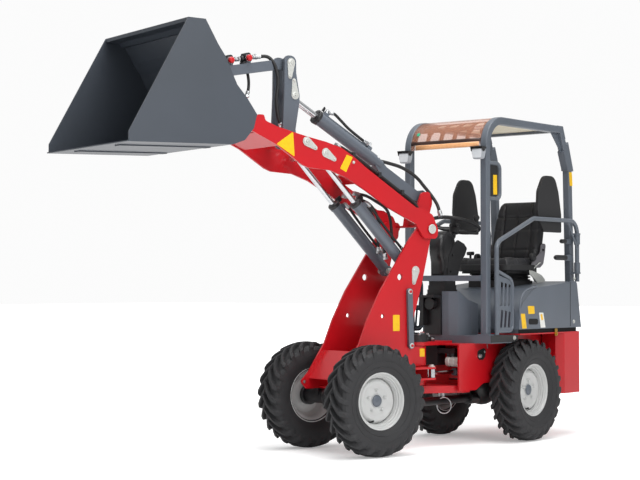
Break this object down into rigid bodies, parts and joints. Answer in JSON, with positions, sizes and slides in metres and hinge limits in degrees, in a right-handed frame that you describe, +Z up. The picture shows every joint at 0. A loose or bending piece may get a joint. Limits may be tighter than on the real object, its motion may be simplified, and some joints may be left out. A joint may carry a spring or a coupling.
{
  "type": "compact articulated wheel loader",
  "caption": "Small articulated wheel loader with open operator canopy, raised lift arm and bucket, hinged between its axles, on lugged tyres.",
  "frame": {"origin": "on the floor under the middle of the whole machine's bounding box", "axes": "+X forward along the rear machine, +Y to its left, +Z up"},
  "size_m": [3.9544, 1.5176, 2.481],
  "materials": {
    "tyre": "tread rubber",
    "wheel_paint": "silver white satin",
    "red_paint": "gloss",
    "grey_paint": "satin",
    "dark_paint": "satin",
    "black_paint": "satin",
    "black_plastic": "matte",
    "vinyl": "grained vinyl",
    "cast": "rough cast",
    "zinc": "zinc plated",
    "chrome": "polished",
    "smoked": "smoked clear",
    "roof": "moulded"
  },
  "bodies": {
    "rear_machine": {"rear_axle": "black_paint", "rear_chassis": "red_paint", "counterweight": "red_paint", "tow_hitch": "black_paint", "hood": "grey_paint", "engine_block": "cast", "platform": "grey_paint", "steering_column": "black_plastic", "steering_wheel": "black_plastic", "seat_base": "black_plastic", "seat_cushion": "vinyl", "seat_back": "vinyl", "rops_upper": "grey_paint", "rops_lower": "grey_paint", "roof_panel": "roof", "visor": "smoked", "right_guard": "grey_paint", "right_shoulder": "black_plastic", "lamps": "black_plastic", "hydraulics": "black_paint", "pivot_fittings": "zinc"},
    "front_machine": {"front_axle": "black_paint", "mast": "red_paint", "mast_pins": "zinc"},
    "boom": {"boom": "red_paint", "boom_caps": "zinc"},
    "tilt_lever": {"tilt_lever": "grey_paint", "lever_pins": "zinc"},
    "tilt_link": {"tilt_link": "grey_paint"},
    "bucket": {"bucket": "dark_paint", "hitch": "grey_paint"},
    "lift_barrels": {"lift_barrels": "grey_paint"},
    "lift_rods": {"lift_rods": "chrome"},
    "tilt_barrel": {"tilt_barrel": "grey_paint"},
    "tilt_rod": {"tilt_rod": "chrome"},
    "steer_barrel": {"steer_barrel": "grey_paint"},
    "steer_rod": {"steer_rod": "chrome"},
    "gate": {"gate": "grey_paint", "gate_shoulder": "black_plastic"},
    "wheel_fl": {"tyre_fl": "tyre", "rim_fl": "wheel_paint"},
    "wheel_fr": {"tyre_fr": "tyre", "rim_fr": "wheel_paint"},
    "wheel_rl": {"tyre_rl": "tyre", "rim_rl": "wheel_paint"},
    "wheel_rr": {"tyre_rr": "tyre", "rim_rr": "wheel_paint"}
  },
  "joints": [
    {"name": "steer", "type": "hinge", "parent": "rear_machine", "child": "front_machine", "pos_m": [-0.42723, 0.31132, 0.576], "axis": [0, 0, 1], "range_deg": [-30, 60]},
    {"name": "lift", "type": "hinge", "parent": "front_machine", "child": "boom", "pos_m": [-0.38279, 0.29942, 1.377], "axis": [-0.2588, -0.9659, 0], "range_deg": [-76.6, 39]},
    {"name": "tilt", "type": "hinge", "parent": "boom", "child": "bucket", "pos_m": [0.94439, -0.0562, 1.935], "axis": [0.2588, 0.9659, 0], "range_deg": [-76.6, 84]},
    {"name": "lever_turn", "type": "hinge", "parent": "boom", "child": "tilt_lever", "pos_m": [0.54643, 0.05043, 1.877], "axis": [0.2588, 0.9659, 0], "range_deg": [-54.78, 60.07]},
    {"name": "link_turn", "type": "hinge", "parent": "tilt_lever", "child": "tilt_link", "pos_m": [0.56091, 0.04655, 2.36], "axis": [0.2588, 0.9659, 0], "range_deg": [-44.53, 40.61]},
    {"name": "lift_barrel_turn", "type": "hinge", "parent": "front_machine", "child": "lift_barrels", "pos_m": [-0.27268, 0.26991, 1.115], "axis": [-0.2588, -0.9659, 0], "range_deg": [-78.53, 39.98]},
    {"name": "lift_rod_slide", "type": "slide", "parent": "lift_barrels", "child": "lift_rods", "axis": [0.6864, -0.1839, 0.7036], "range_m": [-0.33771, 0.17199]},
    {"name": "tilt_barrel_turn", "type": "hinge", "parent": "front_machine", "child": "tilt_barrel", "pos_m": [-0.47359, 0.32375, 1.588], "axis": [-0.2588, -0.9659, 0], "range_deg": [-71.25, 36.28]},
    {"name": "tilt_rod_slide", "type": "slide", "parent": "tilt_barrel", "child": "tilt_rod", "axis": [0.8443, -0.2262, 0.4857], "range_m": [-0.13032, 0.1429]},
    {"name": "steer_barrel_turn", "type": "hinge", "parent": "rear_machine", "child": "steer_barrel", "pos_m": [-0.97723, 0.46132, 0.468], "axis": [0, 0, 1], "range_deg": [-3.61, 1.81]},
    {"name": "steer_rod_slide", "type": "slide", "parent": "steer_barrel", "child": "steer_rod", "axis": [0.9991, -0.0427, 0], "range_m": [-0.1159, 0.058]},
    {"name": "gate_swing", "type": "hinge", "parent": "rear_machine", "child": "gate", "pos_m": [-1.83923, 0.67332, 1.25], "axis": [0, 0, 1], "range_deg": [0, 100]},
    {"name": "wheel_spin_fl", "type": "hinge", "parent": "front_machine", "child": "wheel_fl", "pos_m": [0.25257, 0.49152, 0.335], "axis": [0.2588, 0.9659, 0], "continuous": true},
    {"name": "wheel_spin_fr", "type": "hinge", "parent": "front_machine", "child": "wheel_fr", "pos_m": [0.0714, -0.18463, 0.335], "axis": [0.2588, 0.9659, 0], "continuous": true},
    {"name": "wheel_spin_rl", "type": "hinge", "parent": "rear_machine", "child": "wheel_rl", "pos_m": [-1.17723, 0.66132, 0.335], "axis": [0, 1, 0], "continuous": true},
    {"name": "wheel_spin_rr", "type": "hinge", "parent": "rear_machine", "child": "wheel_rr", "pos_m": [-1.17723, -0.03868, 0.335], "axis": [0, 1, 0], "continuous": true}
  ],
  "couplings": [
    {"joint": "lever_turn", "follows": "tilt", "ratio": 0.715},
    {"joint": "link_turn", "follows": "tilt", "ratio": -0.53},
    {"joint": "lift_barrel_turn", "follows": "lift", "ratio": 1.025},
    {"joint": "lift_rod_slide", "follows": "lift", "m_per_rad": 0.25253},
    {"joint": "tilt_barrel_turn", "follows": "lift", "ratio": 0.93},
    {"joint": "tilt_rod_slide", "follows": "tilt", "m_per_rad": 0.0974},
    {"joint": "steer_barrel_turn", "follows": "steer", "ratio": -0.06},
    {"joint": "steer_rod_slide", "follows": "steer", "m_per_rad": -0.11058}
  ]
}
